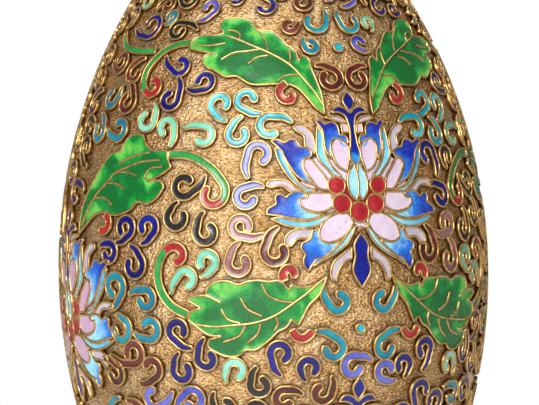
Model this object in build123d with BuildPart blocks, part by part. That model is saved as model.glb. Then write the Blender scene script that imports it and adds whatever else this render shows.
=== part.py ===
"""Cloisonne vase: a spun copper body with soldered wire cells filled with coloured enamel.

Millimetres, +Z up, origin at the centre of the foot, on the surface that the vase stands on.
The ornament is drawn on a chart of the body: u is the distance round the widest part, and v is
the height on the same scale, drawn so that a circle on the chart stays a circle on the vase.
"""

import os
from math import acos, atan, atan2, cos, degrees, hypot, pi, sin, sqrt, tanh

from build123d import *

os.makedirs("parts", exist_ok=True)

# ---- Driving dimensions of the vessel ----
BELLY_R = 33.0  # radius at the widest part
BELLY_Z = 59.0  # height of the widest part
UPPER_ARC = 81.0  # profile radius above the widest part
LOWER_ARC = 85.0  # profile radius below it
BODY_LOW = 8.0  # where the body meets the foot
BODY_HIGH = 112.0  # where the body meets the neck
LIP_Z = 126.6
TOTAL_HEIGHT = 128.0
NECK_R = 12.4  # neck tube where it leaves the shoulder
THROAT_R = 9.6  # narrowest part of the neck, outside
THROAT_Z = 118.5
LIP_R = 13.6
FOOT_TOP_R = 15.6
FOOT_R = 18.4
FOOT_RING_HEIGHT = 1.8
WALL = 0.9  # spun copper sheet
LINING = 0.35  # plain enamel inside and underneath
RING_WIRE = 0.8  # radius of the gilt rings

# ---- Driving dimensions of the ornament ----
ENAMEL_RISE = 0.58  # enamel above the copper ground
WIRE_RISE = 0.7  # wire above the copper ground
WIRE = 0.34  # thickness of a cloison wire
SCROLL_HALF = 0.42  # half the width of the enamel in a scroll band
LONGEST_COIL = 1.5 * pi  # a scroll winds no further than this, so that its wires stay apart
LEAST_EYE = 0.95  # radius of the tightest end of a coil
VINE_HALF = 0.5
SEED_R = 1.15
FULL_TURN = 360.0
LOTUS_HIGH = (13.1, 10.5)  # chart centre of the upper lotus
LOTUS_LOW = (-40.3, -7.5)  # chart centre of the lower lotus
LOTUS_FOOT = (13.1, -33.5)  # chart centre of the lotus above the foot band
MIRROR_SHARE = 0.942  # the mirrored panel is a little narrower than the panel it copies
CORE = 0.62  # the prisms start at this share of the local radius
REACH = 0.55  # and are this share of it long
SEAM_TURNS = (2.0, -2.0, 5.0, 0.0)  # degrees, where a relief layer's own seam may lie
LEAST_VOLUME = 0.01
LEAST_PIECE = 0.35  # a smaller piece than this, in cubic millimetres, is a sliver and isn't made
MOST_SLANT = 1.5  # a slanting patch of the wall is at most this much larger than its drawing
LEAST_CELL = 0.3  # the smallest patch of enamel, in square millimetres
BAND_COUNT = 12  # ruyi heads round the shoulder, and lappets round the foot

# ---- Chart of the ornament, left panel between the two lotus columns ----
# A scroll is (tail, eye, radius, turn, bulb): the band leaves its tail, meets a circle of that
# radius about the eye, and winds to a round bulb. turn is 1 anticlockwise and -1 clockwise.
SCROLLS = {
    "turquoise": [
        ((3.4, 23.2), (-0.3, 22.7), 1.7, 1, (0.3, 21.4)),
        ((-1.3, 24.8), (-4.0, 27.2), 1.7, -1, (-3.0, 27.5)),
        ((-7.1, 23.6), (-8.5, 26.6), 1.7, -1, (-7.6, 26.4)),
        ((-4.6, 24.4), (-5.3, 21.3), 1.6, 1, (-4.4, 21.7)),
        ((7.2, -1.8), (9.5, -3.9), 1.5, 1, (9.8, -3.2)),
        ((-27.3, -5.0), (-26.0, -1.6), 1.9, 1, (-26.2, -2.6)),
        ((-26.0, -5.8), (-25.2, -8.0), 1.9, -1, (-26.3, -8.2)),
        ((-34.3, 26.0), (-33.8, 22.6), 1.4, -1, (-34.8, 23.2)),
        ((-31.2, 23.0), (-28.0, 22.8), 1.6, 1, (-28.5, 23.8)),
        ((11.6, 46.0), (9.2, 43.0), 2.3, -1, (8.0, 43.6)),
    ],
    "violet": [
        ((-3.6, 14.3), (-2.1, 18.1), 1.6, -1, (-1.3, 17.1)),
        ((-1.2, 13.0), (-3.9, 11.5), 1.5, 1, (-3.0, 11.0)),
        ((-16.0, -20.5), (-13.0, -18.6), 1.6, -1, (-13.8, -19.4)),
        ((7.0, -24.0), (4.2, -22.0), 1.7, 1, (5.0, -21.4)),
    ],
    "cobalt": [
        ((-20.6, 36.2), (-17.0, 34.0), 1.6, 1, (-17.1, 35.1)),
        ((-17.0, 32.0), (-17.8, 27.7), 1.6, -1, (-18.2, 28.6)),
        ((-15.0, 29.6), (-11.8, 30.8), 1.6, 1, (-12.8, 30.9)),
        ((-20.8, 4.7), (-19.6, 7.3), 1.5, 1, (-20.4, 7.0)),
        ((-25.8, 5.0), (-23.9, 7.2), 1.5, 1, (-24.6, 6.7)),
        ((-29.6, 4.3), (-27.2, 3.5), 1.4, -1, (-27.9, 3.1)),
        ((-12.4, -10.7), (-14.6, -8.0), 1.5, -1, (-13.8, -8.2)),
        ((-10.4, -9.0), (-10.3, -12.2), 1.4, 1, (-9.6, -11.8)),
        ((1.0, -15.0), (0.8, -11.5), 1.5, -1, (1.5, -12.2)),
        ((-32.5, 43.0), (-27.3, 43.3), 2.7, 1, (-28.6, 43.8)),
        ((-4.0, 50.0), (-1.0, 47.0), 1.9, -1, (-2.0, 46.4)),
    ],
    "mint": [
        ((-20.9, 27.2), (-21.8, 24.2), 1.6, -1, (-22.5, 25.1)),
        ((-16.7, 19.4), (-17.6, 22.8), 1.4, 1, (-18.3, 22.0)),
        ((-14.6, 22.5), (-11.0, 21.3), 1.6, -1, (-11.6, 20.5)),
        ((-10.8, -0.1), (-9.8, 2.1), 1.4, 1, (-10.6, 1.8)),
        ((-15.4, -2.6), (-13.0, -0.5), 1.4, -1, (-12.6, -1.2)),
        ((-7.4, -16.0), (-6.0, -14.0), 1.4, -1, (-5.4, -14.8)),
        ((-36.0, 52.5), (-33.0, 50.0), 2.0, -1, (-34.2, 49.8)),
    ],
    "black": [
        ((-10.2, 15.0), (-13.6, 13.4), 1.7, -1, (-13.0, 14.2)),
        ((-14.3, 11.0), (-14.6, 8.6), 1.6, 1, (-13.6, 8.8)),
        ((-10.2, 9.5), (-9.9, 6.4), 1.6, 1, (-9.2, 6.9)),
        ((-14.8, 41.6), (-19.4, 41.7), 1.9, 1, (-18.4, 41.5)),
        ((-22.0, 52.0), (-19.0, 49.5), 2.0, 1, (-18.0, 49.0)),
    ],
    "maroon": [
        ((1.0, 6.6), (-4.6, 7.2), 1.4, -1, (-3.8, 7.0)),
        ((-4.8, 5.0), (-5.0, 1.8), 1.6, 1, (-4.2, 2.1)),
        ((0.3, 6.2), (0.4, 3.4), 1.8, 1, (1.3, 3.6)),
        ((7.9, 33.4), (10.4, 31.0), 2.0, -1, (10.4, 30.0)),
        ((-25.6, 36.0), (-27.6, 33.2), 1.9, 1, (-26.6, 32.8)),
        ((-36.4, 36.2), (-33.2, 35.6), 1.9, 1, (-34.2, 36.0)),
        ((-28.5, 31.5), (-27.5, 27.6), 1.7, -1, (-28.2, 28.5)),
        ((-22.5, -16.2), (-19.8, -13.8), 1.6, 1, (-20.2, -13.4)),
        ((-26.0, -19.0), (-23.3, -22.0), 1.8, -1, (-24.2, -22.4)),
    ],
}

# An outline is a closed chain of arcs: every second point is one that an arc passes through.
# A plant is a leaf, the vines that it grows from and the red hooks of its calyx.
PLANTS = [
    {
        "leaf": [
            (8.7, 24.6), (8.1, 30.5), (6.5, 35.2), (5.7, 35.3), (5.1, 34.4), (4.9, 35.7),
            (4.2, 37.0), (1.8, 39.6), (-1.0, 41.0), (-2.6, 42.9), (-5.0, 43.7), (-7.4, 43.9),
            (-9.6, 43.3), (-10.0, 42.0), (-9.2, 40.7), (-11.5, 40.2), (-14.0, 40.1),
            (-15.4, 38.8), (-15.8, 37.4), (-12.9, 36.9), (-10.4, 36.1), (-11.6, 35.9),
            (-12.5, 35.0), (-11.0, 33.0), (-8.0, 31.6), (-6.4, 31.7), (-5.0, 31.0),
            (-2.5, 30.2), (0.5, 30.0), (2.8, 30.0), (4.5, 29.2), (6.8, 27.0),
        ],
        "vines": [
            [(-14.6, 38.9), (-18.6, 38.7), (-22.4, 36.6), (-24.6, 32.7), (-23.4, 29.2)],
            [(-36.6, 42.2), (-34.0, 39.2), (-30.0, 37.9), (-26.0, 37.4), (-23.6, 37.2)],
        ],
        "hooks": [
            [(-22.4, 28.6), (-21.3, 29.0), (-20.9, 30.2), (-21.6, 31.3), (-22.7, 31.4)],
            [(4.6, 28.5), (4.1, 27.5), (2.8, 26.8), (1.6, 27.4), (1.5, 28.6)],
        ],
    },
    {
        "leaf": [
            (-35.8, 6.2), (-33.6, 7.7), (-31.5, 9.0), (-29.0, 9.4), (-26.5, 9.2), (-24.0, 9.5),
            (-21.9, 11.0), (-19.8, 10.8), (-18.3, 11.5), (-17.1, 13.1), (-18.5, 14.3),
            (-19.4, 14.4), (-20.0, 14.4), (-18.0, 15.0), (-16.0, 16.3), (-17.0, 17.4),
            (-17.2, 18.6), (-19.2, 18.9), (-21.0, 19.6), (-21.9, 21.0), (-23.5, 21.8),
            (-25.1, 21.3), (-26.4, 19.3), (-28.6, 18.8), (-30.5, 17.0), (-33.5, 13.2),
        ],
        "vines": [
            [(-16.6, 17.9), (-11.6, 17.2), (-8.2, 14.4), (-7.0, 11.7), (-8.4, 10.4)],
        ],
        "hooks": [
            [(-9.2, 10.4), (-10.1, 10.8), (-10.4, 11.7), (-10.1, 12.4), (-9.5, 12.7)],
            [(-28.2, 8.5), (-27.7, 7.7), (-28.2, 6.9), (-29.0, 6.7), (-29.7, 7.1)],
        ],
    },
    {
        "leaf": [
            (7.6, -0.4), (5.6, -1.6), (3.2, -1.5), (2.6, -1.8), (2.2, -2.2), (1.2, -1.4),
            (-0.5, -0.9), (-2.8, -0.8), (-5.0, -1.3), (-7.0, -0.8), (-8.8, -1.1), (-9.7, -2.0),
            (-10.0, -3.0), (-8.8, -3.6), (-7.6, -4.1), (-10.0, -3.9), (-12.8, -3.4),
            (-11.8, -4.6), (-12.0, -6.6), (-11.0, -7.5), (-9.8, -8.6), (-8.6, -8.9),
            (-7.4, -8.8), (-8.8, -9.1), (-9.8, -9.8), (-8.4, -11.4), (-6.2, -11.8),
            (-3.4, -10.8), (-0.6, -9.3), (0.6, -8.2), (1.8, -7.5), (2.6, -7.0), (3.2, -6.6),
            (5.2, -3.9),
        ],
        "vines": [
            [(-12.6, -5.6), (-15.6, -4.1), (-17.6, -0.6), (-17.2, 2.2), (-15.7, 3.9)],
        ],
        "hooks": [
            [(2.6, -8.0), (3.2, -9.0), (4.2, -9.3), (5.0, -8.9), (5.4, -8.2)],
            [(1.0, -0.4), (1.1, 0.4), (1.8, 0.9), (2.6, 0.7), (2.7, 0.0)],
        ],
    },
]

# ---- Chart of half a lotus, measured from the flower's centre ----
LOTUS_PETALS = [
    [(-1.6, 4.7), (-1.2, 7.2), (-2.3, 9.8), (-3.3, 9.9), (-3.8, 9.0), (-3.6, 6.6)],
    [(-4.6, 1.9), (-5.4, 4.2), (-7.5, 6.8), (-8.3, 6.3), (-8.0, 4.7), (-6.8, 2.4)],
    [(-9.2, 0.7), (-7.6, 1.0), (-6.0, 1.5), (-4.4, 0.6), (-4.2, -0.6), (-6.6, -1.3)],
    [(-6.4, -4.5), (-5.7, -2.6), (-3.9, -1.8), (-1.9, -1.6), (-1.2, -3.0), (-3.6, -5.6)],
]
LOTUS_TIPS = [
    [(-6.1, 12.9), (-5.2, 13.0), (-4.5, 12.4), (-3.3, 12.7), (-2.4, 11.8), (-2.0, 10.7),
     (-1.0, 9.8), (-1.2, 8.9), (-2.0, 8.9), (-2.6, 9.8), (-3.6, 9.6), (-4.0, 8.2), (-4.0, 6.6),
     (-4.8, 8.4), (-4.9, 10.6), (-5.3, 11.9)],
    [(-13.3, 9.7), (-10.7, 7.4), (-9.3, 3.9), (-7.6, 2.9), (-8.7, 5.4), (-7.9, 7.2),
     (-7.1, 7.4), (-8.2, 8.7), (-10.3, 9.9), (-11.1, 9.5)],
    [(-14.0, -1.5), (-9.4, -2.4), (-5.4, -1.7), (-7.6, -1.7), (-9.3, -0.4), (-9.3, 0.7),
     (-8.1, 1.3), (-9.5, 1.8), (-11.1, 1.1), (-12.4, 1.5), (-13.0, 0.8), (-13.1, -0.3)],
    [(-9.0, -8.6), (-6.4, -7.2), (-3.2, -5.8), (-5.6, -6.0), (-6.8, -4.5), (-6.9, -3.6),
     (-8.1, -4.8), (-9.0, -6.8)],
]
LOTUS_STRIPS = [
    [(-5.9, 12.3), (-5.8, 9.0), (-4.6, 5.9), (-3.2, 4.4), (-2.4, 4.2), (-3.6, 4.1), (-5.0, 5.2),
     (-6.2, 7.4)],
    [(-12.8, 8.5), (-10.9, 6.5), (-9.3, 3.6), (-7.6, 2.2), (-5.6, 1.6), (-7.4, 1.6),
     (-9.6, 2.8), (-11.6, 5.6)],
    [(-13.3, -2.5), (-10.0, -2.8), (-7.0, -2.6), (-5.2, -2.2), (-3.8, -1.8), (-5.6, -3.3),
     (-8.6, -3.7), (-11.2, -3.2)],
    [(-7.2, -9.2), (-4.2, -7.8), (-1.8, -5.7), (-1.0, -4.6), (-0.7, -3.3), (-2.4, -5.5),
     (-4.6, -7.2), (-6.4, -8.4)],
]
LOTUS_SEPALS = [
    [(-9.7, 11.9), (-7.6, 11.6), (-6.5, 8.0), (-7.4, 8.6), (-8.2, 10.4), (-8.9, 11.3)],
    [(-14.0, 2.7), (-12.3, 3.6), (-10.2, 3.0), (-9.2, 2.3), (-11.2, 2.0), (-12.8, 2.6)],
    [(-11.4, -6.1), (-10.4, -4.3), (-7.4, -3.9), (-8.0, -5.0), (-9.8, -5.4), (-10.6, -6.2)],
]
LOTUS_SEEDS = [(-2.7, -0.3), (-3.5, 2.6)]
LOTUS_HEART = [(-0.5, 5.7), (-1.4, 3.4), (-0.6, 0.6), (-0.1, 3.0)]
LOTUS_STEM = [(0.0, 5.4), (-0.9, 7.4), (-0.5, 9.6), (-0.6, 12.4), (0.0, 14.2), (0.6, 12.4),
              (0.5, 9.6), (0.9, 7.4)]
LOTUS_BUD = [(0.0, 14.9), (-0.9, 16.5), (0.0, 18.0), (0.9, 16.5)]
LOTUS_KEEL = [(0.0, -12.6), (-1.3, -9.6), (-0.5, -4.8), (0.0, -4.4), (0.5, -4.8), (1.3, -9.6)]

# ---- One ruyi head of the shoulder band and one lappet of the foot band ----
# Both are measured from their own centre line; v is the height on the chart.
RUYI = [(-4.4, 71.0), (0.0, 71.4), (4.4, 71.0), (5.0, 69.2), (6.6, 67.6), (7.7, 64.6), (5.2, 62.4),
        (3.6, 62.2), (2.4, 61.4), (1.4, 59.6), (0.0, 58.4), (-1.4, 59.6), (-2.4, 61.4),
        (-3.6, 62.2), (-5.2, 62.4), (-7.7, 64.6), (-6.6, 67.6), (-5.0, 69.2)]
RUYI_EYE = [(0.0, 62.0), (-1.5, 64.6), (0.0, 67.4), (1.5, 64.6)]
LAPPET = [(0.0, -43.0), (-5.8, -48.0), (-6.9, -57.0), (-6.6, -60.6), (-6.0, -63.4),
          (0.0, -63.9), (6.0, -63.4), (6.6, -60.6), (6.9, -57.0), (5.8, -48.0)]
LAPPET_EYE = [(0.0, -48.4), (-2.9, -53.6), (0.0, -59.4), (2.9, -53.6)]


# ---- Geometry of the wall ----
def wall_r(z, out=0.0):
    """Radius at height z of the surface that lies out millimetres outside the copper wall."""
    arc = UPPER_ARC if z >= BELLY_Z else LOWER_ARC
    return BELLY_R - arc + sqrt((arc + out) ** 2 - (z - BELLY_Z) ** 2)


def height(v):
    """Height on the vase of chart height v, which keeps circles round on the curved wall."""
    arc = UPPER_ARC if v >= 0 else LOWER_ARC
    root = sqrt(BELLY_R * (2 * arc - BELLY_R))
    half_angle = atan(BELLY_R / root * tanh(v * root / (2 * BELLY_R * arc)))
    return BELLY_Z + arc * sin(2 * half_angle)


def belly_shell(inside, outside, low=BODY_LOW, high=BODY_HIGH):
    """The layer of the body between two offsets from the outer wall, as a turned solid."""
    below, above = (low + BELLY_Z) / 2, (high + BELLY_Z) / 2
    with BuildPart() as shell:
        with BuildSketch(Plane.XZ):
            with BuildLine():
                for out in (inside, outside):
                    widest = (BELLY_R + out, BELLY_Z)
                    ThreePointArc((wall_r(low, out), low), (wall_r(below, out), below), widest)
                    ThreePointArc(widest, (wall_r(above, out), above), (wall_r(high, out), high))
                Line((wall_r(low, inside), low), (wall_r(low, outside), low))
                Line((wall_r(high, inside), high), (wall_r(high, outside), high))
            make_face()
        revolve(axis=Axis.Z)
    return shell.part


# ---- Drawing on the chart ----
def same(u, v):
    """The panel as charted."""
    return (u, v)


def mirrored(u, v):
    """The neighbouring panel, which is a mirror image across the upper lotus."""
    return (LOTUS_HIGH[0] + (LOTUS_HIGH[0] - u) * MIRROR_SHARE, v)


def placed(points, panel):
    """The chart points as they lie in one panel."""
    return [panel(u, v) for u, v in points]


def wall_point(u, v):
    """The point of the copper wall that lies under a chart point."""
    z = height(v)
    turn = u / BELLY_R
    return Vector(wall_r(z) * sin(turn), -wall_r(z) * cos(turn), z)


def facing(v):
    """Upright plane inside the front of the wall, for a wide motif at chart height v."""
    return Plane((0, -CORE * wall_r(height(v)), 0), x_dir=(1, 0, 0), z_dir=(0, -1, 0))


def touching(v):
    """Plane that touches the front of the wall, for a small motif at chart height v."""
    arc = UPPER_ARC if v >= 0 else LOWER_ARC
    rise = (height(v) - BELLY_Z) / arc
    return Plane(wall_point(0, v), x_dir=(1, 0, 0), z_dir=(0, -sqrt(1 - rise**2), rise))


def middle(points):
    """Centre of the box round some chart points."""
    across, up = [p[0] for p in points], [p[1] for p in points]
    return ((min(across) + max(across)) / 2, (min(up) + max(up)) / 2)


def drawing(plane, cells):
    """Faces inside closed chains of arcs on the chart, as they fall square on a plane."""
    with BuildSketch(plane) as faces:
        for points in cells:
            flat = [plane.to_local_coords(wall_point(u, v)) for u, v in points + points[:1]]
            on_plane = [(p.X, p.Y) for p in flat]
            with BuildLine():
                for i in range(0, len(points), 2):
                    ThreePointArc(on_plane[i], on_plane[i + 1], on_plane[i + 2])
            make_face()
    return faces.sketch


def grown(plane, cells):
    """The same faces, each with the thickness of a wire added all round it."""
    with BuildSketch(plane) as wider:
        for points in cells:
            add(offset(drawing(plane, [points]), amount=WIRE, mode=Mode.PRIVATE))
    return wider.sketch


def band(line, half_width):
    """Closed outline of an even band with round ends along a centre line on the chart."""
    left, right = [], []
    last = len(line) - 1
    for i, (u, v) in enumerate(line):
        before, after = line[max(i - 1, 0)], line[min(i + 1, last)]
        length = hypot(after[0] - before[0], after[1] - before[1])
        along = ((after[0] - before[0]) / length, (after[1] - before[1]) / length)
        left.append((u - half_width * along[1], v + half_width * along[0]))
        right.append((u + half_width * along[1], v - half_width * along[0]))
        if i == 0:
            start = (u - half_width * along[0], v - half_width * along[1])
        if i == last:
            end = (u + half_width * along[0], v + half_width * along[1])
    return left + [end] + right[::-1] + [start]


def scroll_line(tail, eye, radius, turn, bulb):
    """Centre line of a scroll: a bent tail, then four points round the eye to the bulb."""
    away = atan2(tail[1] - eye[1], tail[0] - eye[0])
    reach = hypot(tail[0] - eye[0], tail[1] - eye[1])
    first = away + turn * acos(min(1.0, radius / reach))
    last_radius = max(LEAST_EYE, hypot(bulb[0] - eye[0], bulb[1] - eye[1]))
    sweep = (turn * (atan2(bulb[1] - eye[1], bulb[0] - eye[0]) - first)) % (2 * pi)
    if sweep < pi:
        sweep += 2 * pi
    sweep = min(sweep, LONGEST_COIL)
    coil = []
    for i in range(5):
        at = first + turn * sweep * i / 4
        r = radius + (last_radius - radius) * i / 4
        coil.append((eye[0] + r * cos(at), eye[1] + r * sin(at)))
    bow = 0.12 * hypot(coil[0][0] - tail[0], coil[0][1] - tail[1])
    bend = ((tail[0] + coil[0][0]) / 2 + bow * cos(first), (tail[1] + coil[0][1]) / 2 + bow * sin(first))
    return [tail, bend] + coil


def circle_outline(u, v, radius):
    """A round cell as four points on two arcs."""
    return [(u - radius, v), (u, v + radius), (u + radius, v), (u, v - radius)]


def both_sides(half):
    """The cells of half a symmetrical motif and of its other half."""
    return [[(side * u, v) for u, v in cell] for side in (1, -1) for cell in half]


def moved(cells, across, up=0.0):
    """Cells moved across and up the chart."""
    return [[(across + u, up + v) for u, v in cell] for cell in cells]


def fitted(faces, plane, neighbours):
    """Faces with a wire's thickness left between them and the cells that were there first."""
    with BuildSketch(plane) as kept:
        add(faces)
        if neighbours:
            add(grown(plane, neighbours), mode=Mode.SUBTRACT)
    return [face for face in kept.sketch.faces() if face.area > LEAST_CELL]


def over_belly(face, v, rise, hole=None):
    """What a face covers of a layer that lies on the belly, less a hole.

    The layer's own seam is turned until it stays clear of the outline.
    """
    prism = extrude(face, amount=REACH * wall_r(height(v)))
    for turn in SEAM_TURNS:
        covered = prism & belly_shell(0, rise).rotate(Axis.Z, turn)
        if covered and hole:
            covered = covered - hole
        if covered and LEAST_VOLUME < covered.volume < MOST_SLANT * rise * face.area:
            return covered
    raise ValueError("a cell misses the belly")


def enamel(plane, v, cells, neighbours=()):
    """Enamel that fills some cells."""
    faces = fitted(drawing(plane, cells), plane, neighbours)
    return [over_belly(face, v, ENAMEL_RISE) for face in faces]


def cloisons(plane, v, cells, neighbours=()):
    """The wires round some cells, up to the wires of the neighbours."""
    inside = extrude(drawing(plane, cells), amount=REACH * wall_r(height(v)))
    faces = fitted(grown(plane, cells), plane, neighbours)
    return [over_belly(face, v, WIRE_RISE, inside) for face in faces]


# ---- Vessel: spun copper and its gilt rings ----
with BuildPart() as body_shell:
    add(belly_shell(-WALL, 0))
body_shell.part.label = "body_shell"
export_step(body_shell.part, "parts/body_shell.step")


def neck_tube(inside, outside):
    """Turned tube that follows the neck's waist, between two shifts from its outside."""
    with BuildPart() as tube:
        with BuildSketch(Plane.XZ):
            with BuildLine():
                for shift in (inside, outside):
                    foot = (NECK_R + shift, BODY_HIGH)
                    ThreePointArc(foot, (THROAT_R + shift, THROAT_Z), (LIP_R + shift, LIP_Z))
                Line((NECK_R + inside, BODY_HIGH), (NECK_R + outside, BODY_HIGH))
                Line((LIP_R + inside, LIP_Z), (LIP_R + outside, LIP_Z))
            make_face()
        revolve(axis=Axis.Z)
    return tube.part


with BuildPart() as neck_collar:
    add(neck_tube(-WALL, 0))
neck_collar.part.label = "neck_collar"
export_step(neck_collar.part, "parts/neck_collar.step")

with BuildPart() as base_plate:
    with BuildSketch(Plane.XY.offset(BODY_LOW - WALL)):
        Circle(FOOT_TOP_R)
    extrude(amount=WALL)
base_plate.part.label = "base_plate"
export_step(base_plate.part, "parts/base_plate.step")

with BuildPart() as foot_skirt:
    with BuildSketch(Plane.XZ):
        with BuildLine():
            for shift in (0, -WALL):
                skirt_top = (FOOT_TOP_R + shift, BODY_LOW - WALL)
                waist = (FOOT_TOP_R + 0.5 + shift, (BODY_LOW + FOOT_RING_HEIGHT) / 2)
                ThreePointArc(skirt_top, waist, (FOOT_R - 0.6 + shift, FOOT_RING_HEIGHT))
            Line((FOOT_TOP_R - WALL, BODY_LOW - WALL), (FOOT_TOP_R, BODY_LOW - WALL))
            Line((FOOT_R - 0.6 - WALL, FOOT_RING_HEIGHT), (FOOT_R - 0.6, FOOT_RING_HEIGHT))
        make_face()
    revolve(axis=Axis.Z)
foot_skirt.part.label = "foot_skirt"
export_step(foot_skirt.part, "parts/foot_skirt.step")

with BuildPart() as foot_ring:
    with BuildSketch(Plane.XZ):
        with BuildLine():
            inner = FOOT_R - 2 * WALL
            Polyline((FOOT_R, 0), (inner, 0), (inner, FOOT_RING_HEIGHT), (FOOT_R, FOOT_RING_HEIGHT))
            bulge = (FOOT_R + WALL * 0.7, FOOT_RING_HEIGHT / 2)
            ThreePointArc((FOOT_R, FOOT_RING_HEIGHT), bulge, (FOOT_R, 0))
        make_face()
    revolve(axis=Axis.Z)
foot_ring.part.label = "foot_ring"
export_step(foot_ring.part, "parts/foot_ring.step")

# A gilt ring hides each soldered joint, and one rounds the lip.
with BuildPart() as mouth_ring:
    with BuildSketch(Plane.XZ):
        with Locations((LIP_R - WALL / 2, TOTAL_HEIGHT - RING_WIRE)):
            Circle(RING_WIRE)
    revolve(axis=Axis.Z)
    add(neck_collar.part, mode=Mode.SUBTRACT)
mouth_ring.part.label = "mouth_ring"
export_step(mouth_ring.part, "parts/mouth_ring.step")

with BuildPart() as shoulder_ring:
    with BuildSketch(Plane.XZ):
        with Locations((wall_r(BODY_HIGH) + RING_WIRE / 4, BODY_HIGH + RING_WIRE / 4)):
            Circle(RING_WIRE)
    revolve(axis=Axis.Z)
    add(body_shell.part, mode=Mode.SUBTRACT)
    add(neck_collar.part, mode=Mode.SUBTRACT)
shoulder_ring.part.label = "shoulder_ring"
export_step(shoulder_ring.part, "parts/shoulder_ring.step")

with BuildPart() as ankle_ring:
    with BuildSketch(Plane.XZ):
        with Locations((wall_r(BODY_LOW) + RING_WIRE / 4, BODY_LOW - RING_WIRE / 2)):
            Circle(RING_WIRE)
    revolve(axis=Axis.Z)
    for joined in (body_shell, base_plate, foot_skirt):
        add(joined.part, mode=Mode.SUBTRACT)
ankle_ring.part.label = "ankle_ring"
export_step(ankle_ring.part, "parts/ankle_ring.step")

# ---- Plain enamel inside and underneath ----
with BuildPart() as inner_enamel_body:
    add(belly_shell(-WALL - LINING, -WALL))
inner_enamel_body.part.label = "inner_enamel_body"
export_step(inner_enamel_body.part, "parts/inner_enamel_body.step")

with BuildPart() as inner_enamel_neck:
    add(neck_tube(-WALL - LINING, -WALL))
inner_enamel_neck.part.label = "inner_enamel_neck"
export_step(inner_enamel_neck.part, "parts/inner_enamel_neck.step")

with BuildPart() as inner_enamel_floor:
    with BuildSketch(Plane.XY.offset(BODY_LOW)):
        Circle(wall_r(BODY_LOW, -WALL - LINING))
    extrude(amount=LINING)
inner_enamel_floor.part.label = "inner_enamel_floor"
export_step(inner_enamel_floor.part, "parts/inner_enamel_floor.step")

with BuildPart() as base_enamel:
    with BuildSketch(Plane.XY.offset(BODY_LOW - WALL)):
        Circle(FOOT_TOP_R - WALL)
    extrude(amount=-LINING)
base_enamel.part.label = "base_enamel"
export_step(base_enamel.part, "parts/base_enamel.step")


# ---- Ornament: each family is made once, then its colours and wires become nodes ----
pieces = {}


def keep(node, made, u, copies=2):
    """Files pieces made at the front under their node, turned to chart column u and repeated."""
    for i in range(copies):
        turn = degrees(u / BELLY_R) + i * FULL_TURN / copies
        pieces.setdefault(node, []).extend(piece.rotate(Axis.Z, turn) for piece in made)


# Scrolls are small enough to be flat tiles that touch the wall.
for colour, scrolls in SCROLLS.items():
    for scroll in scrolls:
        line = scroll_line(*scroll)
        for panel in (same, mirrored):
            outlines = [placed(band(line, half), panel) for half in (SCROLL_HALF, SCROLL_HALF + WIRE)]
            u, v = middle(outlines[0])
            plane = touching(v)
            fill, with_wire = [drawing(plane, moved([outline], -u)) for outline in outlines]
            keep("scroll_enamel_" + colour, [extrude(fill, amount=ENAMEL_RISE)], u)
            keep("scroll_cloisons", [extrude(with_wire - fill, amount=WIRE_RISE)], u)

for plant in PLANTS:
    for panel in (same, mirrored):
        u, v = middle(placed(plant["leaf"], panel))
        plane = facing(v)
        leaf = moved([placed(plant["leaf"], panel)], -u)
        vines = moved([placed(band(line, VINE_HALF), panel) for line in plant["vines"]], -u)
        hooks = moved([placed(band(line, VINE_HALF), panel) for line in plant["hooks"]], -u)
        taken = []
        for node, cells in (("leaf_enamel", leaf), ("vine_enamel", vines), ("calyx_enamel", hooks)):
            keep(node, enamel(plane, v, cells, taken), u)
            keep("leaf_cloisons", cloisons(plane, v, cells, taken), u)
            taken += cells

seed_cells = [circle_outline(0, -1.5, SEED_R)]
for across, up in LOTUS_SEEDS:
    seed_cells += [circle_outline(side * across, up, SEED_R) for side in (1, -1)]
# Where two cells of the flower would meet, the one that is further down this list gives way.
LOTUS_FAMILIES = {
    "lotus_seed_enamel": seed_cells,
    "lotus_petal_enamel": both_sides(LOTUS_PETALS),
    "lotus_heart_enamel": both_sides([LOTUS_HEART]),
    "lotus_strip_enamel": both_sides(LOTUS_STRIPS),
    "lotus_stem_enamel": [LOTUS_STEM, LOTUS_BUD, LOTUS_KEEL],
    "lotus_tip_enamel": both_sides(LOTUS_TIPS),
    "lotus_sepal_enamel": both_sides(LOTUS_SEPALS),
}
for u, v in (LOTUS_HIGH, LOTUS_LOW, LOTUS_FOOT):
    plane = facing(v)
    taken = []
    for node, family in LOTUS_FAMILIES.items():
        cells = moved(family, 0, v)
        keep(node, enamel(plane, v, cells, taken), u)
        keep("lotus_cloisons", cloisons(plane, v, cells, taken), u)
        taken += cells

# The lotus above the foot hangs its keel between two lappets.
for name, outer, eye, u in (
    ("ruyi", RUYI, RUYI_EYE, LOTUS_FOOT[0]),
    ("lappet", LAPPET, LAPPET_EYE, LOTUS_FOOT[0] + pi * BELLY_R / BAND_COUNT),
):
    v = middle(outer)[1]
    plane = facing(v)
    keep(name + "_eye_enamel", enamel(plane, v, [eye]), u, BAND_COUNT)
    keep(name + "_enamel", enamel(plane, v, [outer], [eye]), u, BAND_COUNT)
    for cell in (outer, eye):
        keep(name + "_cloisons", cloisons(plane, v, [cell]), u, BAND_COUNT)

for node, made in pieces.items():
    with BuildPart() as joined:
        add(made)
    with BuildPart() as ornament:
        add([piece for piece in joined.solids() if piece.volume > LEAST_PIECE], clean=False)
    ornament.part.label = node
    export_step(ornament.part, "parts/" + node + ".step", write_pcurves=False)
    print(node, len(made), "made,", len(ornament.part.solids()), "kept")
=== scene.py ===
import math
import random

import bpy
import numpy as np
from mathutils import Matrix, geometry, kdtree


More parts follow.
